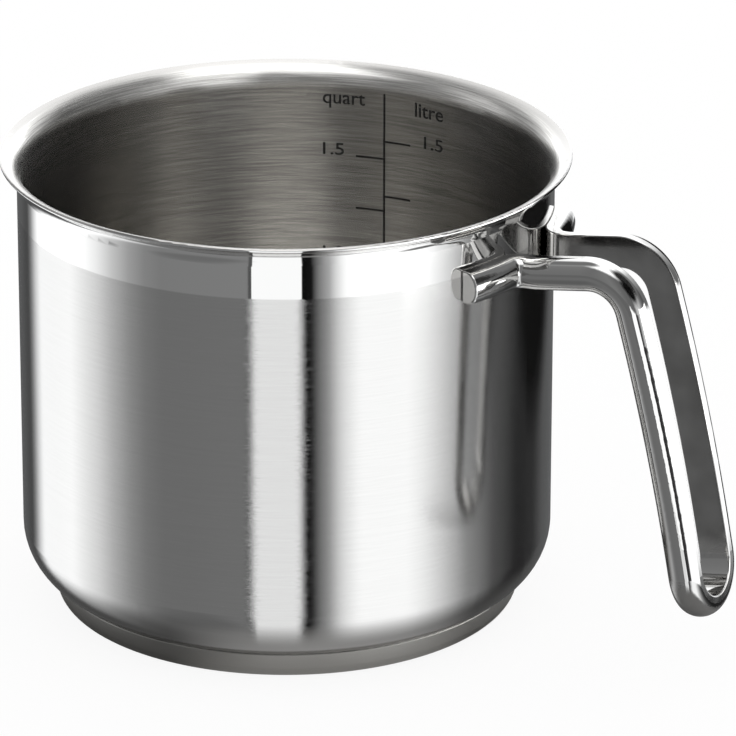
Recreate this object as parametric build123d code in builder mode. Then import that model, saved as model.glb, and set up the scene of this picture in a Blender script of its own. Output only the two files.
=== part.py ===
from build123d import *
from math import acos, asin, atan2, cos, degrees, radians, sin, sqrt, tan
import os

os.makedirs("parts", exist_ok=True)

# Milk pan. The origin is the centre of the face it stands on, +Z is the axis of the pan
# and the handle points along +X. All lengths are in millimetres, all angles in degrees.

# Vessel, drawn from one sheet
inner_diameter = 140.0
overall_height = 125.0
vessel_sheet = 1.0
floor_corner_radius = 15.0        # inside, between the floor and the wall
lip_overhang = 4.6                # of the lip past the outside of the wall
lip_flare_angle = 80.0            # turn of the rim, from upright towards level
lip_edge_share = 0.4              # rounding of the cut edge, of the sheet

# Capsule base: a thick disc closed in by a pressed cap
base_thickness = 5.5              # from the table to the underside of the vessel
cap_sheet = 0.8
cap_seam_inset = 8.0              # of the cap's edge from the outside of the wall
cap_side_lean = 1.4               # the cap's side draws in by this much, from its edge to the table
cap_corner_radius = 4.0
cap_edge_radius = 0.25            # rounding of the cap's edge at the seam

# Handle: one half-round bar, bent as a hairpin with a foot at each end
bar_depth = 8.7                   # across the flat
bar_width = 5.6                   # from the flat to the crown
bar_side_width = 2.0              # of the straight sides beside the flat
bar_edge_radius = 0.4
loop_gap = 16.7                   # clear width between the two arms
foot_drop = 17.9                  # from the lip down to the middle of the feet
foot_length = 14.6                # along the wall, past the foot's bend
foot_bend_radius = 0.8            # inside, where a foot turns into its arm
foot_end_radius = 0.5
arm_rise_angle = 8.4              # of the arms above level
arm_rise_radius = 25.0
arm_length = 13.3                 # straight part
grip_bend_radius = 11.6           # to the middle of the bar
grip_lean_angle = 16.0            # of the grip off upright, at its upper end
grip_curve_radius = 710.0
loop_end_height = 16.8            # of the grip's lower end above the table

# Places worked out from the vessel's sizes
inner_radius = inner_diameter / 2
outer_radius = inner_radius + vessel_sheet
outer_corner_radius = floor_corner_radius + vessel_sheet
floor_flat_radius = inner_radius - floor_corner_radius
corner_centre_height = base_thickness + outer_corner_radius
flare_radius = lip_overhang / (1 - cos(radians(lip_flare_angle)))     # hollow side of the rim
flare_top_radius = flare_radius + vessel_sheet
flare_centre_height = overall_height - flare_top_radius * sin(radians(lip_flare_angle))

# The cap's edge lies on the vessel's outer corner
seam_radius = outer_radius - cap_seam_inset
seam_height = corner_centre_height - sqrt(
    outer_corner_radius ** 2 - (seam_radius - floor_flat_radius) ** 2
)
cap_side_angle = atan2(seam_height, cap_side_lean)

# The foot's bend turns about a centre that is clear of both the foot and its arm
half_gap = loop_gap / 2
foot_height = overall_height - foot_drop
foot_bend_reach = bar_width + foot_bend_radius
bend_centre_y = half_gap + foot_bend_reach
bend_centre_x = sqrt((outer_radius + foot_bend_reach) ** 2 - bend_centre_y ** 2)
foot_start_angle = degrees(asin(bend_centre_y / (outer_radius + foot_bend_reach)))
foot_sweep_angle = degrees(foot_length / outer_radius)


# Outline under the vessel's skin, which the base fits against
def vessel_underside():
    with BuildSketch() as underside:
        with BuildLine():
            flat = Line((0, base_thickness), (floor_flat_radius, base_thickness))
            corner_centre = (floor_flat_radius, corner_centre_height)
            corner = CenterArc(corner_centre, outer_corner_radius, -90, 90)
            Polyline(corner @ 1, (0, corner_centre_height), flat @ 0)
        make_face()
    return underside.sketch


# Half section of the base inside a skin of the given thickness
def base_section(skin):
    def side_radius(height):
        foot_radius = seam_radius - cap_side_lean - skin / sin(cap_side_angle)
        return foot_radius + height / tan(cap_side_angle)

    with BuildSketch() as section:
        with BuildLine():
            Polyline(
                (0, skin),
                (side_radius(skin), skin),
                (side_radius(seam_height), seam_height),
                (0, seam_height),
                close=True,
            )
        make_face()
        corner = section.vertices().group_by(Axis.Y)[0].sort_by(Axis.X)[-1]
        fillet(corner, cap_corner_radius - skin)
        add(vessel_underside(), mode=Mode.SUBTRACT)
    return section.sketch


# Vessel
with BuildPart() as vessel:
    with BuildSketch(Plane.XZ):
        with BuildLine():
            corner_centre = (floor_flat_radius, corner_centre_height)
            flare_centre = (outer_radius + flare_radius, flare_centre_height)
            underside = Line((0, base_thickness), (floor_flat_radius, base_thickness))
            outer_corner = CenterArc(corner_centre, outer_corner_radius, -90, 90)
            outer_flare = CenterArc(flare_centre, flare_radius, 180, -lip_flare_angle)
            Line(outer_corner @ 1, outer_flare @ 0)
            inner_flare = CenterArc(flare_centre, flare_top_radius, 180, -lip_flare_angle)
            Line(outer_flare @ 1, inner_flare @ 1)
            inner_corner = CenterArc(corner_centre, floor_corner_radius, -90, 90)
            Line(inner_flare @ 0, inner_corner @ 1)
            floor = Line(inner_corner @ 0, (0, base_thickness + vessel_sheet))
            Line(floor @ 1, underside @ 0)
        profile = make_face()
        lip_corners = profile.vertices().sort_by(Axis.X)[-2:]
        fillet(lip_corners, vessel_sheet * lip_edge_share)
    revolve(axis=Axis.Z)
vessel.part.label = "vessel"
export_step(vessel.part, "parts/vessel.step")

# Heat spreader, the aluminium disc inside the base
with BuildPart() as heat_spreader:
    with BuildSketch(Plane.XZ):
        add(base_section(cap_sheet))
    revolve(axis=Axis.Z)
heat_spreader.part.label = "heat_spreader"
export_step(heat_spreader.part, "parts/heat_spreader.step")

# Base cap, pressed round the disc
with BuildPart() as base_cap:
    with BuildSketch(Plane.XZ) as cap_section:
        add(base_section(0))
        add(base_section(cap_sheet), mode=Mode.SUBTRACT)
        seam_corner = cap_section.vertices().sort_by(Axis.X)[-1]
        fillet(seam_corner, cap_edge_radius)
    revolve(axis=Axis.Z)
base_cap.part.label = "base_cap"
export_step(base_cap.part, "parts/base_cap.step")

# Section of the handle's bar, with its flat on the left and its crown on the right
with BuildSketch() as bar_section:
    with BuildLine():
        crown = EllipticalCenterArc(
            (bar_side_width, 0), bar_width - bar_side_width, bar_depth / 2, -90, arc_size=180
        )
        flat = Line((0, bar_depth / 2), (0, -bar_depth / 2))
        Line(crown @ 1, flat @ 0)
        Line(flat @ 1, crown @ 0)
    make_face()
    fillet(bar_section.vertices().group_by(Axis.X)[0], bar_edge_radius)

# Handle. The near half is made first: arm and grip, foot bend, foot
with BuildPart() as handle:
    arm_plane = Plane(
        origin=(bend_centre_x, -half_gap, foot_height), x_dir=(0, -1, 0), z_dir=(1, 0, 0)
    )
    with BuildSketch(arm_plane):
        add(bar_section.sketch)
    with BuildLine(Plane.XZ.offset(half_gap)) as arm_path:
        rise = JernArc((bend_centre_x, foot_height), (1, 0), arm_rise_radius, arm_rise_angle)
        arm = PolarLine(rise @ 1, arm_length, arm_rise_angle)
        bend_turn = arm_rise_angle + 90 - grip_lean_angle
        bend = JernArc(arm @ 1, arm % 1, grip_bend_radius, -bend_turn)
        # The grip curves on until the outside of the loop's end is down at its height.
        # With the grip's heading u below level there, that end lies at
        # grip_curve_radius * cos(u) - loop_reach * sin(u) plus values known at the bend.
        loop_reach = half_gap + bar_width
        known = loop_end_height - (bend @ 1).Z + grip_curve_radius * sin(radians(grip_lean_angle))
        end_heading = degrees(
            acos(known / sqrt(grip_curve_radius ** 2 + loop_reach ** 2))
            - atan2(loop_reach, grip_curve_radius)
        )
        grip_turn = end_heading - (90 - grip_lean_angle)
        grip = JernArc(bend @ 1, bend % 1, grip_curve_radius, -grip_turn)
    sweep()
    with BuildSketch(arm_plane):
        add(bar_section.sketch)
    bend_axis = Axis((bend_centre_x, -bend_centre_y, 0), (0, 0, 1))
    revolve(axis=bend_axis, revolution_arc=90 - foot_start_angle)
    foot_direction = radians(-foot_start_angle)
    foot_plane = Plane(
        origin=(
            outer_radius * cos(foot_direction),
            outer_radius * sin(foot_direction),
            foot_height,
        ),
        x_dir=(cos(foot_direction), sin(foot_direction), 0),
        z_dir=(sin(foot_direction), -cos(foot_direction), 0),
    )
    with BuildSketch(foot_plane):
        add(bar_section.sketch)
    revolve(axis=-Axis.Z, revolution_arc=foot_sweep_angle)
    foot_end = handle.faces().sort_by(Axis.Y)[0]
    fillet(foot_end.edges(), foot_end_radius)
    mirror(about=Plane.XZ)
    # The loop's end joins the two halves
    grip_end = arm_path.line @ 1
    grip_heading = arm_path.line % 1
    with BuildSketch(Plane(origin=grip_end, x_dir=(0, -1, 0), z_dir=grip_heading)):
        add(bar_section.sketch)
    loop_axis = Axis((grip_end.X, 0, grip_end.Z), grip_heading.cross(Vector(0, 1, 0)))
    revolve(axis=loop_axis, revolution_arc=180)
handle.part.label = "handle"
export_step(handle.part, "parts/handle.step")
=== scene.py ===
import bpy
from math import cos, pi, radians, sin
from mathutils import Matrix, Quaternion, Vector


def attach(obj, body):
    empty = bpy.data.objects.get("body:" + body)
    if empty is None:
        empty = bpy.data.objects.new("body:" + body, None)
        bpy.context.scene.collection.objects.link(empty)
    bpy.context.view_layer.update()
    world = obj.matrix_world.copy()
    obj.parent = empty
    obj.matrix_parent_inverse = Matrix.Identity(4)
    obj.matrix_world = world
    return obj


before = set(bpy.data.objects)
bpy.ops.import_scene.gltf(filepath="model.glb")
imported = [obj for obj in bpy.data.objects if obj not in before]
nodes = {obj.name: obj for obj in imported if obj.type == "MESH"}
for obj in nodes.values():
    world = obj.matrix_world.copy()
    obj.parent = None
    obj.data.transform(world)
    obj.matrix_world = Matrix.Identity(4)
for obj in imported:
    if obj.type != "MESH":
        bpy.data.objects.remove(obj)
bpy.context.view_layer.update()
print("frame loaded:", ", ".join(sorted(nodes)))

# Settings that many nodes share
mixColours = {"data_type": "RGBA"}
smoothStep = {"interpolation_type": "SMOOTHSTEP"}


# sRGB hex to the linear colour that a shader socket takes
def hexColour(text):
    def linear(share):
        return share / 12.92 if share <= 0.04045 else ((share + 0.055) / 1.055) ** 2.4

    return tuple(linear(int(text[i:i + 2], 16) / 255) for i in (1, 3, 5)) + (1.0,)


# A grey light, as a share of white
def plainGrey(share):
    return (share, share, share, 1.0)


# Adds a node. Its settings go first, as they decide which sockets it shows, and an input is named
# or counted among those. A node or a socket is linked to it; any other value is set.
def addNode(tree, kind, settings=None, inputs=None):
    node = tree.nodes.new("ShaderNode" + kind)
    for name, value in (settings or {}).items():
        setattr(node, name, value)
    shown = [socket for socket in node.inputs if socket.enabled]
    for name, value in (inputs or {}).items():
        socket = shown[name] if isinstance(name, int) else next(s for s in shown if s.name == name)
        if isinstance(value, bpy.types.Node):
            value = next(made for made in value.outputs if made.enabled)
        if isinstance(value, bpy.types.NodeSocket):
            tree.links.new(value, socket)
        else:
            socket.default_value = value
    return node


def newMaterial(name):
    material = bpy.data.materials.new(name)
    material.use_nodes = True
    material.node_tree.nodes.clear()
    return material, material.node_tree


# Camera: a long lens from the front left of the handle, looking down into the pan
cameraSettings = {
    "place": (0.71179, -1.34455, 0.66284),
    "aim": (0.01910, 0.01041, 0.06297),
    "roll": radians(0.097),
    "lens": 299.33,
    "sensor": 36.0,
}
bpy.ops.object.select_all(action="DESELECT")
bpy.ops.object.camera_add(location=cameraSettings["place"])
camera = bpy.context.object
camera.name = "camera"
lookAlong = Vector(cameraSettings["aim"]) - Vector(cameraSettings["place"])
turn = lookAlong.to_track_quat("-Z", "Y") @ Quaternion((0, 0, 1), cameraSettings["roll"])
camera.rotation_euler = turn.to_euler()
camera.data.lens = cameraSettings["lens"]
camera.data.sensor_width = cameraSettings["sensor"]
bpy.context.scene.camera = camera
bpy.context.scene.view_settings.view_transform = "Standard"
print("camera set")

# Studio: strip lights and flags that stand round the pan and lean over it, cards round the
# handle, larger panels above them and a white ceiling. A heading of 0 faces the camera's side and
# grows to its right. Each stop has a heading in degrees and a share of the brightest white.
studio = {
    "facing": 62.14,             # degrees that bring the camera's side of the pan to heading 0
    "lean": 0.93,                # how far the strips lean, which keeps them upright in round steel
    "leanFrom": (-0.6, -0.1),    # how far to the front that starts, from -1 straight behind
    "strength": 2.05,            # brings white in polished steel up to white
    "tint": (0.985, 1.0, 1.02),
    "leftStrips": (
        (-156, 0.06), (-150, 0.05), (-146, 0.05), (-141.5, 0.18), (-136.4, 0.55), (-131.5, 0.9),
        (-106, 1.0), (-89, 0.67), (-80, 0.43), (-71, 0.26), (-63, 0.176), (-55, 0.148),
        (-16.5, 0.156), (-15.8, 0.06), (-14.2, 0.06),
    ),
    "stripe": 0.77,              # a narrow card between the two, with sharp sides
    "stripeLeft": (-14.9, -14.5),
    "stripeRight": (6.2, 6.8),
    "rightStrips": (
        (6, 0.002), (10.8, 0.006), (13.6, 0.14), (18.2, 0.3), (21, 0.53), (24.6, 0.76),
        (31, 1.0), (53, 1.0), (61, 0.86), (77, 0.42), (84, 0.24), (92, 0.16), (100, 0.07),
        (118, 0.014), (135, 0.024), (147, 0.07),
    ),
    "cards": (
        (-180, 1.3), (-152, 1.0), (-146, 0.2), (-120, 0.1), (-96, 0.18), (-76, 0.12),
        (-60, 0.13), (-16, 0.13), (-14, 1.2), (6, 1.2), (8, 0.02), (27, 0.05),
        (32, 1.2), (128, 1.2), (136, 0.5), (142, 0.5), (150, 1.1), (180, 1.3),
    ),
    "panels": (
        (-180, 1.15), (-162, 1.15), (-150, 0.95), (-134, 0.27), (-118, 0.2), (-106, 0.4),
        (-90, 0.42), (-76, 0.2), (-50, 0.155), (-32, 0.19), (-12, 0.135), (10, 0.13),
        (18, 0.42), (26, 0.62), (46, 0.54), (60, 0.34), (70, 0.22), (90, 0.12), (112, 0.08),
        (124, 0.16), (138, 0.5), (150, 1.3), (180, 1.15),
    ),
    "cardsAbove": (-14.5, -13.0),    # elevations in degrees between which each one takes over
    "panelsAbove": (-4.0, 0.0),
    "ceilingAbove": (44.0, 64.0),
    "ceiling": 1.45,
    "spots": (                   # heading, elevation and radius in degrees, soft edge, share
        (-108, 60, 10, 16, 0.17),
        (102, 47, 11, 17, 0.17),
        (-44, -44, 6, 15, 0.11),
    ),
}


# Greys over the heading, from their stops. The ramp spans only these, as it is read in 256 steps.
def greysByHeading(tree, turnShare, stops):
    first, last = stops[0][0], stops[-1][0]
    spread = addNode(
        tree, "MapRange",
        inputs={"Value": turnShare, "From Min": (first + 180) / 360, "From Max": (last + 180) / 360},
    )
    ramp = addNode(tree, "ValToRGB", inputs={"Fac": spread})
    made = ramp.color_ramp.elements
    for place, (heading, share) in enumerate(stops):
        stop = made[place] if place < 2 else made.new(1.0)
        stop.position = (heading - first) / (last - first)
        stop.color = plainGrey(share)
    return ramp


# The strips on both sides of the stripe, and the stripe
def allStrips(tree, turnShare):
    def past(side):
        low, high = ((heading + 180) / 360 for heading in studio[side])
        return addNode(
            tree, "MapRange", smoothStep, {"Value": turnShare, "From Min": low, "From Max": high},
        )

    left = greysByHeading(tree, turnShare, studio["leftStrips"])
    right = greysByHeading(tree, turnShare, studio["rightStrips"])
    withStripe = addNode(
        tree, "Mix", mixColours,
        {"Factor": past("stripeLeft"), "A": left, "B": plainGrey(studio["stripe"])},
    )
    return addNode(
        tree, "Mix", mixColours, {"Factor": past("stripeRight"), "A": withStripe, "B": right},
    )


def buildWorld():
    world = bpy.context.scene.world or bpy.data.worlds.new("studio")
    bpy.context.scene.world = world
    world.use_nodes = True
    world.cycles.sampling_method = "NONE"
    tree = world.node_tree
    tree.nodes.clear()
    direction = addNode(tree, "TexCoord").outputs["Generated"]
    turned = addNode(
        tree, "Mapping", inputs={"Vector": direction, "Rotation": (0, 0, radians(studio["facing"]))},
    )
    parts = addNode(tree, "SeparateXYZ", inputs={0: turned}).outputs
    leaning = addNode(tree, "Math", {"operation": "ADD"}, {0: parts["X"], 1: studio["lean"]})
    elevation = addNode(tree, "Math", {"operation": "ARCSINE"}, {0: parts["Z"]})

    # A heading as a share from 0 to 1, where reach is how far it goes to each side
    def turnShare(forward, reach):
        heading = addNode(tree, "Math", {"operation": "ARCTAN2"}, {0: parts["Y"], 1: forward})
        return addNode(
            tree, "MapRange", inputs={"Value": heading, "From Min": -reach, "From Max": reach},
        )

    # The lower greys, with the upper ones from the named elevations up
    def above(name, lower, upper):
        low, high = (radians(angle) for angle in studio[name])
        taken = addNode(
            tree, "MapRange", smoothStep, {"Value": elevation, "From Min": low, "From Max": high},
        )
        return addNode(tree, "Mix", mixColours, {"Factor": taken, "A": lower, "B": upper})

    upright, leant = turnShare(parts["X"], pi), turnShare(leaning, pi / 2)
    # Behind the pan leaning strips would run together to a point, so they stand upright there
    behind, ahead = studio["leanFrom"]
    leantShare = addNode(
        tree, "MapRange", smoothStep, {"Value": parts["X"], "From Min": behind, "From Max": ahead},
    )
    blended = addNode(
        tree, "Mix", mixColours,
        {"Factor": leantShare, "A": allStrips(tree, upright), "B": allStrips(tree, leant)},
    )
    blended = above("cardsAbove", blended, greysByHeading(tree, upright, studio["cards"]))
    blended = above("panelsAbove", blended, greysByHeading(tree, upright, studio["panels"]))
    blended = above("ceilingAbove", blended, plainGrey(studio["ceiling"]))
    for across, up, radius, edge, share in studio["spots"]:
        middle = Vector((cos(radians(up)), 0, sin(radians(up))))
        middle.rotate(Quaternion((0, 0, 1), radians(across)))
        nearness = addNode(tree, "VectorMath", {"operation": "DOT_PRODUCT"}, {0: turned, 1: middle})
        rim, core = cos(radians(radius + edge)), cos(radians(radius))
        covered = addNode(
            tree, "MapRange", smoothStep, {"Value": nearness, "From Min": rim, "From Max": core},
        )
        blended = addNode(
            tree, "Mix", mixColours, {"Factor": covered, "A": blended, "B": plainGrey(share)},
        )
    tinted = addNode(
        tree, "VectorMath", {"operation": "MULTIPLY"}, {0: blended, 1: studio["tint"]},
    )
    # Only glossy rays meet the strips; all else sees an even white tent
    tent = addNode(tree, "Background", inputs={"Color": plainGrey(1.0), "Strength": 1.0})
    mirrored = addNode(
        tree, "Background", inputs={"Color": tinted, "Strength": studio["strength"]},
    )
    glossy = addNode(tree, "LightPath").outputs["Is Glossy Ray"]
    chosen = addNode(tree, "MixShader", inputs={0: glossy, 1: tent, 2: mirrored})
    addNode(tree, "OutputWorld", inputs={"Surface": chosen})


buildWorld()
print("world built")

# A soft box to the right of the handle, near enough that only its grip mirrors it
softBox = {
    "place": (0.27, 0.073, 0.0885),
    "wide": 0.325,
    "high": 0.087,
    "power": 0.3,
}
bpy.ops.object.light_add(
    type="AREA", location=softBox["place"], rotation=(radians(90), 0, radians(90)),
)
box = bpy.context.object
box.name = "soft box"
box.data.shape = "RECTANGLE"
box.data.size = softBox["wide"]
box.data.size_y = softBox["high"]
box.data.energy = softBox["power"]
box.visible_camera = False
box.visible_diffuse = False

# Small grey flags near the handle, seen only in the steel that mirrors them. The second lies in
# line with the light that the wall mirrors, so the wall doesn't show it.
flagSettings = (
    {                            # keeps the ceiling out of the upper side of the bend
        "place": (0.125, -0.011, 0.1415), "towards": (-0.54, 0.0, -0.84), "radius": 0.032,
        "solidTo": 0.014, "colour": "#505050",
    },
    # painted shadow: this grey sheet under the loop stands in for the loop's shadow on the paper
    {                            # keeps the paper out of the underside of the loop
        "place": (0.134, -0.012, 0.0115), "towards": (0.346, 0.093, 0.934), "radius": 0.038,
        "solidTo": 0.012, "colour": "#969696",
    },
    {                            # darkens the fold of the bend
        "place": (0.1258, -0.0256, 0.125), "towards": (-0.692, 0.52, -0.5), "radius": 0.02,
        "solidTo": 0.008, "colour": "#242424",
    },
    {                            # gives the handle's edges a dark outline, from behind it
        "place": (0.1, 0.075, 0.09), "towards": (0.1, -1.0, 0.0), "radius": 0.04, "tall": 1.8,
        "solidTo": 0.025, "colour": "#202020",
    },
)


# Wool felt, which thins out towards its edge so that no sharp line shows in the steel
def feltMaterial(setting):
    material, tree = newMaterial("grey felt")
    place = addNode(tree, "TexCoord").outputs["Object"]
    distance = addNode(tree, "VectorMath", {"operation": "LENGTH"}, {0: place})
    thinned = addNode(
        tree, "MapRange", smoothStep,
        {"Value": distance, "From Min": setting["solidTo"], "From Max": setting["radius"]},
    )
    grey = addNode(tree, "BsdfDiffuse", inputs={"Color": hexColour(setting["colour"])})
    clear = addNode(tree, "BsdfTransparent")
    cloth = addNode(tree, "MixShader", inputs={0: thinned, 1: grey, 2: clear})
    addNode(tree, "OutputMaterial", inputs={"Surface": cloth})
    return material


for setting in flagSettings:
    bpy.ops.object.select_all(action="DESELECT")
    bpy.ops.mesh.primitive_circle_add(
        vertices=48, radius=setting["radius"], fill_type="NGON", location=setting["place"],
        rotation=Vector(setting["towards"]).to_track_quat("Z", "Y").to_euler(),
    )
    flag = bpy.context.object
    flag.name = "flag"
    flag.scale.y = setting.get("tall", 1.0)
    flag.visible_camera = False
    flag.visible_diffuse = False
    flag.visible_shadow = False
    flag.data.materials.append(feltMaterial(setting))
print("soft box and flags placed")

# Floor: white paper, lit by the tent, with the pan's soft shadow on it
floorSettings = {
    "size": 12.0,
    "colour": "#FFFFFF",
    "glow": 0.9,                 # share of its own light that the camera sees, which thins the shadow
    # painted shade: the steel mirrors an emitted grey here in place of the pan's shadow on the paper
    "shadeFrom": 0.064,          # distances from the middle between which the mirrored shade ends
    "shadeTo": 0.097,
    "darkShade": 0.1,            # of the paper beside the pan, as the steel mirrors it
    "lightShade": 0.45,          # and in front of it
    "shadeTurn": (0.7, 1.0),     # how far to the front that change reaches, from 1 straight ahead
    "front": -50.0,              # degrees from +X towards +Y
}


# Seamless paper, matt and even
def paperMaterial():
    material, tree = newMaterial("white seamless paper")
    path = addNode(tree, "LightPath").outputs
    lit = addNode(tree, "BsdfDiffuse", inputs={"Color": hexColour(floorSettings["colour"])})
    glow = addNode(tree, "Emission", inputs={"Color": plainGrey(1.0), "Strength": 1.0})
    glowShare = addNode(
        tree, "Math", {"operation": "MULTIPLY"},
        {0: path["Is Camera Ray"], 1: floorSettings["glow"]},
    )
    seen = addNode(tree, "MixShader", inputs={0: glowShare, 1: lit, 2: glow})
    # Painted shade: near the pan the steel mirrors an emitted grey in place of the pan's shadow,
    # darker beside it and lighter in front; beyond it the strips stand on the paper
    place = addNode(tree, "TexCoord").outputs["Object"]
    distance = addNode(tree, "VectorMath", {"operation": "LENGTH"}, {0: place})
    clearShare = addNode(
        tree, "MapRange", smoothStep,
        {
            "Value": distance,
            "From Min": floorSettings["shadeFrom"], "From Max": floorSettings["shadeTo"],
        },
    )
    front = radians(floorSettings["front"])
    outward = addNode(tree, "VectorMath", {"operation": "NORMALIZE"}, {0: place})
    ahead = addNode(
        tree, "VectorMath", {"operation": "DOT_PRODUCT"}, {0: outward, 1: (cos(front), sin(front), 0)},
    )
    low, high = floorSettings["shadeTurn"]
    shadeGrey = addNode(
        tree, "MapRange", smoothStep,
        {
            "Value": ahead, "From Min": low, "From Max": high,
            "To Min": floorSettings["darkShade"], "To Max": floorSettings["lightShade"],
        },
    )
    shade = addNode(tree, "Emission", inputs={"Color": plainGrey(1.0), "Strength": shadeGrey})
    clear = addNode(tree, "BsdfTransparent")
    mirrored = addNode(tree, "MixShader", inputs={0: clearShare, 1: shade, 2: clear})
    chosen = addNode(
        tree, "MixShader", inputs={0: path["Is Glossy Ray"], 1: seen, 2: mirrored},
    )
    addNode(tree, "OutputMaterial", inputs={"Surface": chosen})
    return material


bpy.ops.object.select_all(action="DESELECT")
bpy.ops.mesh.primitive_plane_add(size=floorSettings["size"], location=(0, 0, 0))
floor = bpy.context.object
floor.name = "floor"
floor.data.materials.append(paperMaterial())
print("floor laid")

# Hairlines that a lathe leaves round the axis. Real ones are 0.02 to 0.05 mm wide, too fine to
# show in the render, so each piece has them as coarse as they need to be. Lengths are in mm.
hairlineSettings = {
    "detail": 2.0,
    "roughness": 0.6,
    "spread": (0.3, 0.7),        # values of the noise between which nearly all of it lies
    "highlightTurn": 0.25,       # quarter turn that makes highlights smear across the lines
    "wallSheet": (69.5, 71.5),   # radii on both sides of the wall's sheet
}


# Where a point of a turned part lies, in mm: its place, its distance from the axis, and how far
# along the profile it is. Radius plus height grows from the middle of the floor to the lip;
# across the sheet of the wall only the height counts, so that the flat facets of the mesh don't
# bend the lines there.
def turnedCoordinates(tree):
    metres = addNode(tree, "TexCoord").outputs["Object"]
    place = addNode(tree, "VectorMath", {"operation": "SCALE"}, {0: metres, "Scale": 1000.0})
    flat = addNode(tree, "VectorMath", {"operation": "MULTIPLY"}, {0: place, 1: (1, 1, 0)})
    radius = addNode(tree, "VectorMath", {"operation": "LENGTH"}, {0: flat})
    parts = addNode(tree, "SeparateXYZ", inputs={0: place}).outputs
    inner, outer = hairlineSettings["wallSheet"]
    acrossSheet = addNode(
        tree, "MapRange",
        inputs={"Value": radius, "From Min": inner, "From Max": outer, "To Max": outer - inner},
    )
    upright = addNode(tree, "Math", {"operation": "SUBTRACT"}, {0: parts["Z"], 1: acrossSheet})
    along = addNode(tree, "Math", {"operation": "ADD"}, {0: radius, 1: upright})
    return {"place": place, "parts": parts, "radius": radius, "along": along}


# A noise stretched to lines of the given length and width
def hairlines(tree, turned, length, width):
    across = addNode(
        tree, "CombineXYZ",
        inputs={"X": turned["parts"]["X"], "Y": turned["parts"]["Y"], "Z": turned["along"]},
    )
    stretched = addNode(
        tree, "VectorMath", {"operation": "DIVIDE"}, {0: across, 1: (length, length, width)},
    )
    return addNode(
        tree, "TexNoise",
        inputs={
            "Vector": stretched, "Scale": 1.0,
            "Detail": hairlineSettings["detail"], "Roughness": hairlineSettings["roughness"],
        },
    )


# Vessel: 18/10 stainless sheet, satin brushed on a lathe inside and out, so highlights smear up
# and down but keep sharp sides, and mirror polished on the outside below the lip
vesselSettings = {
    "outsideColours": ("#B4B3B1", "#B7B6B4"),    # between the hairlines and on them
    "insideColours": ("#AAA8A4", "#D7D5D1"),
    "polishedColour": "#CECDCB",
    "lipColour": "#9E9C99",      # of the lip's upper side, left greyer where its edge was rolled
    "lipFrom": (72.2, 73.8),     # distances in mm from the axis between which that begins
    "outsideSatin": 0.08,
    "insideSatin": 0.2,
    "polished": 0.04,
    "anisotropy": 1.0,
    "polishFrom": 109.5,         # height in mm where the mirror band starts
    "polishBlend": 0.5,
    "flareCentre": (76.57, 118.53),              # radius and height in mm of the rim's curve
    "flareMiddle": 6.07,         # and the radius of the middle of the sheet there
    "cornerCentre": (55.0, 21.5),                # the same for the curve round the floor
    "cornerMiddle": 15.5,
    "sheetBlend": 0.1,           # mm to each side of the middle of the sheet, from inside to outside
    "lineLength": 15.0,
    "lineWidth": 0.3,
    "fineLength": 12.0,
    "fineWidth": 0.1,
    "fineShare": 3.75,           # depth of the fine lines, of the coarse ones
    "lineFade": 3.0,             # height in mm over which the lines end on the rim's curve
    "outsideDepth": 0.0000016,
    "insideDepth": 0.00000185,
}


# Distance in mm from the centre of a curve of the profile, measured only past it: up from the
# rim's, where side is 1, or outward and down from the floor's, where side is -1
def fromCurve(tree, turned, centre, side):
    outward = addNode(tree, "Math", {"operation": "SUBTRACT"}, {0: turned["radius"], 1: centre[0]})
    if side < 0:
        outward = addNode(tree, "Math", {"operation": "MAXIMUM"}, {0: outward, 1: 0.0})
    rise = addNode(
        tree, "Math", {"operation": "MULTIPLY_ADD"},
        {0: turned["parts"]["Z"], 1: side, 2: -side * centre[1]},
    )
    past = addNode(tree, "Math", {"operation": "MAXIMUM"}, {0: rise, 1: 0.0})
    spoke = addNode(tree, "CombineXYZ", inputs={"X": outward, "Y": past})
    return addNode(tree, "VectorMath", {"operation": "LENGTH"}, {0: spoke})


# 1 on the outside of the vessel, 0 on its inside
def outsideShare(tree, turned):
    blend = vesselSettings["sheetBlend"]

    def from0To1(value, middle):
        return addNode(
            tree, "MapRange",
            inputs={"Value": value, "From Min": middle - blend, "From Max": middle + blend},
        )

    fromFlare = fromCurve(tree, turned, vesselSettings["flareCentre"], 1)
    fromCorner = fromCurve(tree, turned, vesselSettings["cornerCentre"], -1)
    inside = from0To1(fromFlare, vesselSettings["flareMiddle"])
    above = addNode(tree, "Math", {"operation": "SUBTRACT"}, {0: 1.0, 1: inside})
    below = from0To1(fromCorner, vesselSettings["cornerMiddle"])
    flared = from0To1(turned["parts"]["Z"], vesselSettings["flareCentre"][1])
    return addNode(tree, "Mix", inputs={"Factor": flared, "A": below, "B": above})


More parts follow.
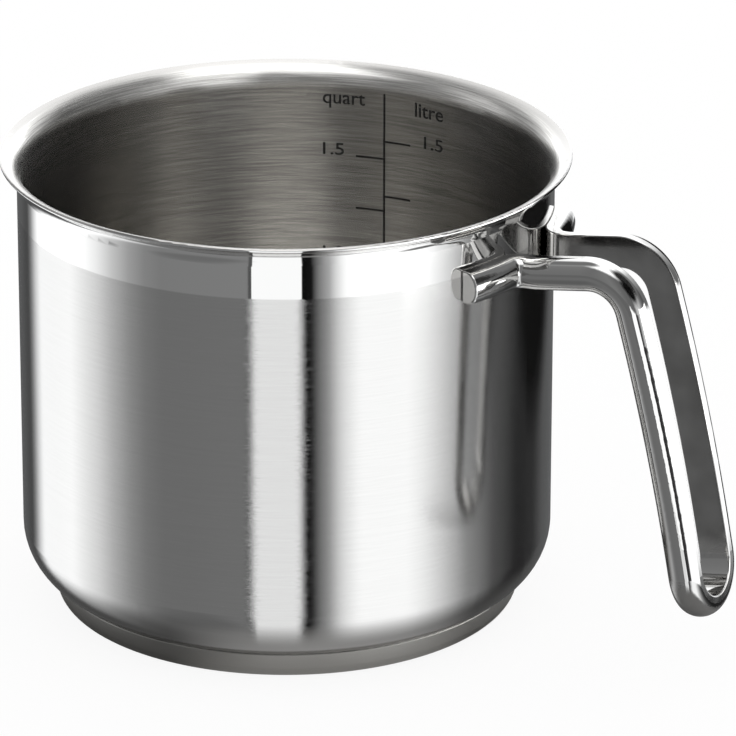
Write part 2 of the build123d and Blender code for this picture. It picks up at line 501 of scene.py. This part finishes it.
def vesselMaterial():
    material, tree = newMaterial("stainless steel, lathe brushed and rim polished")
    turned = turnedCoordinates(tree)
    height = turned["parts"]["Z"]
    coarse = hairlines(tree, turned, vesselSettings["lineLength"], vesselSettings["lineWidth"])
    fine = hairlines(tree, turned, vesselSettings["fineLength"], vesselSettings["fineWidth"])
    relief = addNode(
        tree, "Math", {"operation": "MULTIPLY_ADD"},
        {0: fine, 1: vesselSettings["fineShare"], 2: coarse},
    )
    outside = outsideShare(tree, turned)
    bandFoot = vesselSettings["polishFrom"]
    aboveFoot = addNode(
        tree, "MapRange", smoothStep,
        {
            "Value": height,
            "From Min": bandFoot, "From Max": bandFoot + vesselSettings["polishBlend"],
        },
    )
    polish = addNode(tree, "Math", {"operation": "MULTIPLY"}, {0: outside, 1: aboveFoot})

    # Colour: lines inside and out, the lip's grey edge and the mirror band
    low, top = hairlineSettings["spread"]
    line = addNode(tree, "MapRange", inputs={"Value": coarse, "From Min": low, "From Max": top})
    lined = {}
    for name in ("outsideColours", "insideColours"):
        between, on = (hexColour(colour) for colour in vesselSettings[name])
        lined[name] = addNode(tree, "Mix", mixColours, {"Factor": line, "A": between, "B": on})
    low, top = vesselSettings["lipFrom"]
    lip = addNode(
        tree, "MapRange", smoothStep, {"Value": turned["radius"], "From Min": low, "From Max": top},
    )
    lipped = addNode(
        tree, "Mix", mixColours,
        {"Factor": lip, "A": lined["insideColours"], "B": hexColour(vesselSettings["lipColour"])},
    )
    colour = addNode(
        tree, "Mix", mixColours, {"Factor": outside, "A": lipped, "B": lined["outsideColours"]},
    )
    colour = addNode(
        tree, "Mix", mixColours,
        {"Factor": polish, "A": colour, "B": hexColour(vesselSettings["polishedColour"])},
    )

    # Gloss and relief: the lines end at the mirror band and on the rim
    satin = addNode(
        tree, "Mix",
        inputs={
            "Factor": outside,
            "A": vesselSettings["insideSatin"], "B": vesselSettings["outsideSatin"],
        },
    )
    roughness = addNode(
        tree, "Mix", inputs={"Factor": polish, "A": satin, "B": vesselSettings["polished"]},
    )
    depth = addNode(
        tree, "Mix",
        inputs={
            "Factor": outside,
            "A": vesselSettings["insideDepth"], "B": vesselSettings["outsideDepth"],
        },
    )
    rimFoot = vesselSettings["flareCentre"][1]
    rim = addNode(
        tree, "MapRange", smoothStep,
        {"Value": height, "From Min": rimFoot, "From Max": rimFoot + vesselSettings["lineFade"]},
    )
    smoothed = addNode(tree, "Math", {"operation": "MAXIMUM"}, {0: polish, 1: rim})
    lineShare = addNode(tree, "Math", {"operation": "SUBTRACT"}, {0: 1.0, 1: smoothed})
    bump = addNode(
        tree, "Bump", inputs={"Strength": lineShare, "Distance": depth, "Height": relief},
    )
    shader = addNode(
        tree, "BsdfPrincipled",
        inputs={
            "Base Color": colour,
            "Metallic": 1.0,
            "Roughness": roughness,
            "Anisotropic": vesselSettings["anisotropy"],
            "Anisotropic Rotation": hairlineSettings["highlightTurn"],
            "Normal": bump,
            "Tangent": addNode(tree, "Tangent", {"direction_type": "RADIAL", "axis": "Z"}),
        },
    )
    addNode(tree, "OutputMaterial", inputs={"Surface": shader})
    return material


# Base cap: stainless pressing, turned to an even satin that shows no clear reflections
capSettings = {
    "colour": "#A8A6A2",
    "satin": 0.42,
    "satinSpread": 0.04,
    "anisotropy": 0.3,
    "lineLength": 10.0,
    "lineWidth": 0.35,
    "lineDepth": 0.000003,
}


def capMaterial():
    material, tree = newMaterial("stainless steel, pressed and turned satin")
    turned = turnedCoordinates(tree)
    fine = hairlines(tree, turned, capSettings["lineLength"], capSettings["lineWidth"])
    low, top = hairlineSettings["spread"]
    satin, spread = capSettings["satin"], capSettings["satinSpread"]
    roughness = addNode(
        tree, "MapRange",
        inputs={
            "Value": fine, "From Min": low, "From Max": top,
            "To Min": satin - spread, "To Max": satin + spread,
        },
    )
    bump = addNode(tree, "Bump", inputs={"Distance": capSettings["lineDepth"], "Height": fine})
    shader = addNode(
        tree, "BsdfPrincipled",
        inputs={
            "Base Color": hexColour(capSettings["colour"]),
            "Metallic": 1.0,
            "Roughness": roughness,
            "Anisotropic": capSettings["anisotropy"],
            "Anisotropic Rotation": hairlineSettings["highlightTurn"],
            "Normal": bump,
            "Tangent": addNode(tree, "Tangent", {"direction_type": "RADIAL", "axis": "Z"}),
        },
    )
    addNode(tree, "OutputMaterial", inputs={"Surface": shader})
    return material


# Handle: solid stainless bar, bent and then mirror polished on soft wheels, which leaves the
# faintest waves in what it mirrors. Its flat inner face stays as it was drawn at the mill, duller
# and slightly patchy; its darker grey there is partly painted shade between the two arms.
handleSettings = {
    "colour": "#B2B1AF",
    # the flat face's greys, darker partly as painted shade between the arms
    "flatGreysAndShade": ("#858482", "#979694"),
    "polished": 0.05,
    "asDrawn": 0.14,
    "flatTo": 8.45,              # distance in mm from the loop's middle where the flat face ends
    "flatBlend": 0.05,
    "loopCentre": (122.014, 30.531),             # x and z in mm of the axis of the loop's end
    "loopHeading": (0.1765, -0.9843),            # x and z of the grip's direction there
    "drawnAbove": (31.0, 36.0),  # heights in mm between which the wheel leaves the flat
    "patchSize": 11.11,          # mm
    "patchSpread": (0.35, 0.65),
    "waveSize": 7.0,             # mm
    "waveDepth": 0.000012,
}


# Distance in mm from the middle plane of the hairpin, and from the loop's axis at its end
def fromLoopMiddle(tree, turned):
    centreX, centreZ = handleSettings["loopCentre"]
    headingX, headingZ = handleSettings["loopHeading"]
    along = addNode(
        tree, "VectorMath", {"operation": "DOT_PRODUCT"},
        {0: turned["place"], 1: (headingX, 0, headingZ)},
    )
    past = addNode(
        tree, "Math", {"operation": "SUBTRACT"},
        {0: along, 1: centreX * headingX + centreZ * headingZ},
    )
    reach = addNode(tree, "Math", {"operation": "MAXIMUM"}, {0: past, 1: 0.0})
    spoke = addNode(tree, "CombineXYZ", inputs={"X": reach, "Y": turned["parts"]["Y"]})
    return addNode(tree, "VectorMath", {"operation": "LENGTH"}, {0: spoke})


def handleMaterial():
    material, tree = newMaterial("stainless steel bar, mirror polished")
    turned = turnedCoordinates(tree)
    edge, blend = handleSettings["flatTo"], handleSettings["flatBlend"]
    inner = addNode(
        tree, "MapRange",
        inputs={
            "Value": fromLoopMiddle(tree, turned), "From Min": edge - blend, "From Max": edge + blend,
            "To Min": 1.0, "To Max": 0.0,
        },
    )
    low, top = handleSettings["drawnAbove"]
    drawn = addNode(
        tree, "MapRange", smoothStep,
        {"Value": turned["parts"]["Z"], "From Min": low, "From Max": top},
    )
    flat = addNode(tree, "Math", {"operation": "MULTIPLY"}, {0: inner, 1: drawn})
    patches = addNode(
        tree, "TexNoise",
        inputs={
            "Vector": turned["place"], "Scale": 1 / handleSettings["patchSize"], "Detail": 2.0,
        },
    )
    low, top = handleSettings["patchSpread"]
    patchShare = addNode(
        tree, "MapRange", inputs={"Value": patches, "From Min": low, "From Max": top},
    )
    # Painted shade: the flat face's greys, darker than the bar's, also stand in for the shade between
    # its arms
    dark, light = (hexColour(colour) for colour in handleSettings["flatGreysAndShade"])
    flatGreyAndShade = addNode(tree, "Mix", mixColours, {"Factor": patchShare, "A": dark, "B": light})
    colour = addNode(
        tree, "Mix", mixColours,
        {"Factor": flat, "A": hexColour(handleSettings["colour"]), "B": flatGreyAndShade},
    )
    roughness = addNode(
        tree, "Mix",
        inputs={
            "Factor": flat, "A": handleSettings["polished"], "B": handleSettings["asDrawn"],
        },
    )
    waves = addNode(
        tree, "TexNoise",
        inputs={
            "Vector": turned["place"], "Scale": 1 / handleSettings["waveSize"], "Detail": 1.0,
        },
    )
    bump = addNode(
        tree, "Bump", inputs={"Distance": handleSettings["waveDepth"], "Height": waves},
    )
    shader = addNode(
        tree, "BsdfPrincipled",
        inputs={
            "Base Color": colour,
            "Metallic": 1.0,
            "Roughness": roughness,
            "Normal": bump,
        },
    )
    addNode(tree, "OutputMaterial", inputs={"Surface": shader})
    return material


# Heat spreader: rolled aluminium, closed in by the cap, with the soft grey sheen of mill stock
spreaderSettings = {
    "colour": "#D6D6D8",
    "satin": 0.38,
    "satinSpread": 0.05,
    "lineLength": 20.0,
    "lineWidth": 0.5,
}


def spreaderMaterial():
    material, tree = newMaterial("aluminium disc, as rolled")
    turned = turnedCoordinates(tree)
    fine = hairlines(tree, turned, spreaderSettings["lineLength"], spreaderSettings["lineWidth"])
    low, top = hairlineSettings["spread"]
    satin, spread = spreaderSettings["satin"], spreaderSettings["satinSpread"]
    roughness = addNode(
        tree, "MapRange",
        inputs={
            "Value": fine, "From Min": low, "From Max": top,
            "To Min": satin - spread, "To Max": satin + spread,
        },
    )
    shader = addNode(
        tree, "BsdfPrincipled",
        inputs={
            "Base Color": hexColour(spreaderSettings["colour"]),
            "Metallic": 1.0,
            "Roughness": roughness,
        },
    )
    addNode(tree, "OutputMaterial", inputs={"Surface": shader})
    return material


for name, make in (
    ("vessel", vesselMaterial), ("base_cap", capMaterial),
    ("handle", handleMaterial), ("heat_spreader", spreaderMaterial),
):
    nodes[name].material_slots[0].material = make()
print("steel and aluminium given their finishes")

# Volume scale on the inner wall: litres to the right of its line and quarts to the left.
# Lengths here are in mm; across is measured from the line and heights from the table.
scaleSettings = {
    "wallRadius": 70.0,
    "heading": 95.18,            # degrees from +X towards +Y
    "thickness": 0.07,
    "stroke": 0.58,
    "lineFoot": 31.0,
    "lineTop": 118.2,
    "marks": (                   # reach of the marks across, height of 1.5, step to the next lower
        {"from": 0.0, "to": 7.9, "top": 104.4, "step": 16.0, "textAt": 12.2, "textTo": 18.4},
        {"from": -8.2, "to": 0.0, "top": 99.3, "step": 15.14, "textAt": -17.5, "textTo": -11.6},
    ),
    "markCuts": 3,               # across each mark, so that it can follow the wall
    "volumes": ("1.5", "", "1.0", "", "0.5"),
    "figureHeight": 3.5,
    "words": (("litre", 9.3, 18.4, 113.2), ("quart", -17.5, -5.6, 114.2)),
    "thinning": 0.008,           # of the letters' strokes, at a text size of 1
    "colour": "#141414",
    "matt": 0.6,
    "mattSpread": 0.1,
    "lineLength": 4.0,
    "lineWidth": 0.3,
}


def flatBar(left, right, foot, top, cuts=0):
    bpy.ops.object.select_all(action="DESELECT")
    bpy.ops.mesh.primitive_plane_add(size=1.0)
    bar = bpy.context.object
    bar.scale = ((right - left) / 1000, (top - foot) / 1000, 1)
    bpy.ops.object.transform_apply(location=False, rotation=False, scale=True)
    bar.location = ((left + right) / 2000, (foot + top) / 2000, 0)
    bpy.ops.object.transform_apply(location=True, rotation=False, scale=False)
    bpy.ops.object.mode_set(mode="EDIT")
    bpy.ops.mesh.select_all(action="SELECT")
    if cuts:
        bpy.ops.mesh.subdivide(number_cuts=cuts)
    bpy.ops.mesh.extrude_region_move(
        TRANSFORM_OT_translate={"value": (0, 0, scaleSettings["thickness"] / 1000)},
    )
    bpy.ops.mesh.select_all(action="SELECT")
    bpy.ops.mesh.normals_make_consistent(inside=False)
    bpy.ops.object.mode_set(mode="OBJECT")
    return bar


# Text set between two places across the wall, with its figures' height given or else its width
def flatText(words, left, right, foot, height=None):
    bpy.ops.object.select_all(action="DESELECT")
    bpy.ops.object.text_add()
    text = bpy.context.object
    text.data.body = words
    text.data.size = 1.0
    text.data.offset = scaleSettings["thinning"]
    text.data.extrude = 0.5      # to each side, so 1 thick before it is scaled
    bpy.ops.object.convert(target="MESH")
    corners = [Vector(c) for c in text.bound_box]
    low = Vector(min(c[i] for c in corners) for i in range(3))
    high = Vector(max(c[i] for c in corners) for i in range(3))
    across = (right - left) / 1000 / (high.x - low.x)
    upright = height / 1000 / (high.y - low.y) if height else across
    text.scale = (across, upright, scaleSettings["thickness"] / 1000)
    bpy.ops.object.transform_apply(location=False, rotation=False, scale=True)
    text.location = (
        left / 1000 - low.x * across, foot / 1000, scaleSettings["thickness"] / 2000,
    )
    bpy.ops.object.transform_apply(location=True, rotation=False, scale=False)
    return text


def volumeScale():
    half = scaleSettings["stroke"] / 2
    flat = [flatBar(-half, half, scaleSettings["lineFoot"], scaleSettings["lineTop"])]
    for side in scaleSettings["marks"]:
        for place, figure in enumerate(scaleSettings["volumes"]):
            height = side["top"] - side["step"] * place
            flat.append(flatBar(
                side["from"], side["to"], height - half, height + half, scaleSettings["markCuts"],
            ))
            if figure:
                flat.append(flatText(
                    figure, side["textAt"], side["textTo"], height, scaleSettings["figureHeight"],
                ))
    for word, left, right, foot in scaleSettings["words"]:
        flat.append(flatText(word, left, right, foot))
    bpy.ops.object.select_all(action="DESELECT")
    for piece in flat:
        piece.select_set(True)
    bpy.context.view_layer.objects.active = flat[0]
    bpy.ops.object.join()
    scale = bpy.context.object
    scale.name = "volume_scale"
    # Stand it up facing +Y, roll it to the wall's radius, then turn it to its place
    scale.rotation_euler = (radians(90), 0, radians(180))
    bpy.ops.object.transform_apply(location=False, rotation=True, scale=False)
    bend = scale.modifiers.new("roll to the wall", "SIMPLE_DEFORM")
    bend.deform_method = "BEND"
    bend.deform_axis = "Z"
    bend.angle = scale.dimensions.x / (scaleSettings["wallRadius"] / 1000)
    bpy.ops.object.modifier_apply(modifier=bend.name)
    scale.location = (0, -scaleSettings["wallRadius"] / 1000, 0)
    bpy.ops.object.transform_apply(location=True, rotation=False, scale=False)
    scale.rotation_euler = (0, 0, radians(90 + scaleSettings["heading"]))
    bpy.ops.object.transform_apply(location=False, rotation=True, scale=False)
    return scale


# Laser marking: a dark oxide in the steel's own surface, without gloss
def markMaterial():
    material, tree = newMaterial("dark oxide, laser marked")
    turned = turnedCoordinates(tree)
    fine = hairlines(tree, turned, scaleSettings["lineLength"], scaleSettings["lineWidth"])
    low, top = hairlineSettings["spread"]
    matt, spread = scaleSettings["matt"], scaleSettings["mattSpread"]
    roughness = addNode(
        tree, "MapRange",
        inputs={
            "Value": fine, "From Min": low, "From Max": top,
            "To Min": matt - spread, "To Max": matt + spread,
        },
    )
    shader = addNode(
        tree, "BsdfPrincipled",
        inputs={"Base Color": hexColour(scaleSettings["colour"]), "Roughness": roughness},
    )
    addNode(tree, "OutputMaterial", inputs={"Surface": shader})
    return material


scale = volumeScale()
scale.data.materials.clear()
scale.data.materials.append(markMaterial())
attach(scale, "root")
print("volume scale marked")
